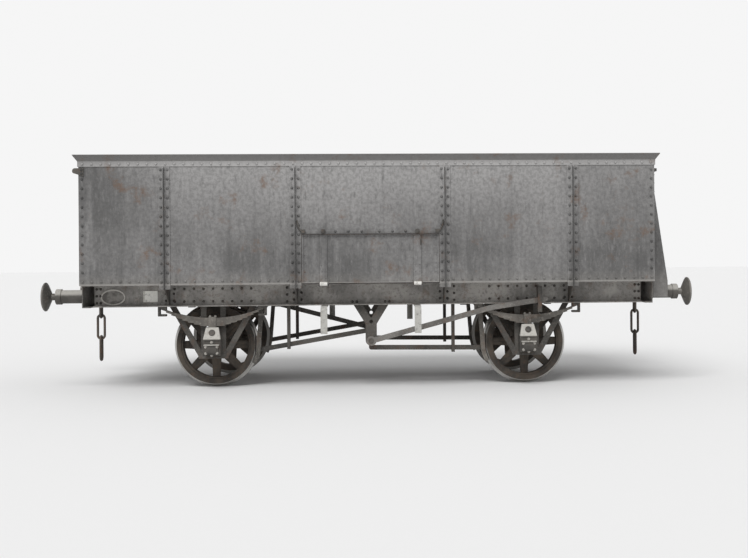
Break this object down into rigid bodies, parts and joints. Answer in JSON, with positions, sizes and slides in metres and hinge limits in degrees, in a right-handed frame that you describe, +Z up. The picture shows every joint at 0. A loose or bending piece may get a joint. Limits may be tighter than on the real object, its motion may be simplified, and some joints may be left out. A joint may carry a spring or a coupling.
{
  "type": "four-wheel steel coal wagon",
  "caption": "High-sided riveted steel railway wagon for coal, with drop side doors, a top-hung end door, spoked wheels, leaf springs and hand brakes.",
  "frame": {"origin": "on the floor under the wagon's middle, level with the lowest point of the wheel flanges", "axes": "+X along the wagon towards the fixed end, -Y to the near side, +Z up"},
  "size_m": [7.595, 2.79, 2.6933],
  "materials": {
    "body_paint": "dull dark grey paint, dusty and streaked",
    "frame_paint": "matt black paint under brake dust",
    "white_paint": "chalky white paint",
    "worn_plate": "bare worn plate, rusty and coal-dusted",
    "draw_gear": "forged steel, oily and rusty",
    "buffer_steel": "greasy worn steel",
    "cast_running_gear": "grimy cast and rolled steel",
    "wheel_steel": "grimy steel, polished on the treads"
  },
  "bodies": {
    "wagon": {"floor_plate": "worn_plate", "side_panels_near": "body_paint", "side_panels_far": "body_paint", "over_door_panels": "body_paint", "end_plates": "body_paint", "side_copings": "body_paint", "end_copings": "body_paint", "corner_posts": "body_paint", "curb_angles": "body_paint", "side_stanchions": "body_paint", "end_pillars": "body_paint", "end_rail": "body_paint", "door_lintels": "body_paint", "door_catches": "body_paint", "side_hinge_brackets": "body_paint", "end_door_bar": "body_paint", "solebars": "frame_paint", "headstocks": "frame_paint", "cross_members": "frame_paint", "longitudinals": "frame_paint", "diagonals": "frame_paint", "side_knees": "frame_paint", "buffer_guides": "frame_paint", "buffer_heads": "buffer_steel", "drawhooks": "draw_gear", "couplings": "draw_gear", "axleguards": "frame_paint", "axleboxes": "cast_running_gear", "leaf_springs": "cast_running_gear", "spring_shoes": "frame_paint", "brake_v_hangers": "frame_paint", "brake_shaft": "frame_paint", "brake_rods": "frame_paint", "rod_hangers": "frame_paint", "brake_blocks": "cast_running_gear", "hand_levers": "frame_paint", "lever_guards": "frame_paint", "door_stops": "white_paint"},
    "wheelset_left": {"wheels_left": "wheel_steel", "axle_left": "wheel_steel"},
    "wheelset_right": {"wheels_right": "wheel_steel", "axle_right": "wheel_steel"},
    "door_near": {"side_door_near": "body_paint", "side_door_straps_near": "body_paint"},
    "door_far": {"side_door_far": "body_paint", "side_door_straps_far": "body_paint"},
    "door_end": {"end_door": "body_paint", "end_door_straps": "body_paint"}
  },
  "joints": [
    {"name": "wheelset_left_turn", "type": "hinge", "parent": "wagon", "child": "wheelset_left", "pos_m": [-1.829, 0, 0.4985], "axis": [0, 1, 0], "continuous": true},
    {"name": "wheelset_right_turn", "type": "hinge", "parent": "wagon", "child": "wheelset_right", "pos_m": [1.829, 0, 0.4985], "axis": [0, 1, 0], "continuous": true},
    {"name": "door_near_drop", "type": "hinge", "parent": "wagon", "child": "door_near", "pos_m": [0, -1.355, 1.2175], "axis": [1, 0, 0], "range_deg": [0, 180]},
    {"name": "door_far_drop", "type": "hinge", "parent": "wagon", "child": "door_far", "pos_m": [0, 1.355, 1.2175], "axis": [-1, 0, 0], "range_deg": [0, 180]},
    {"name": "door_end_swing", "type": "hinge", "parent": "wagon", "child": "door_end", "pos_m": [-3.312, 0, 2.5135], "axis": [0, 1, 0], "range_deg": [0, 75]}
  ]
}
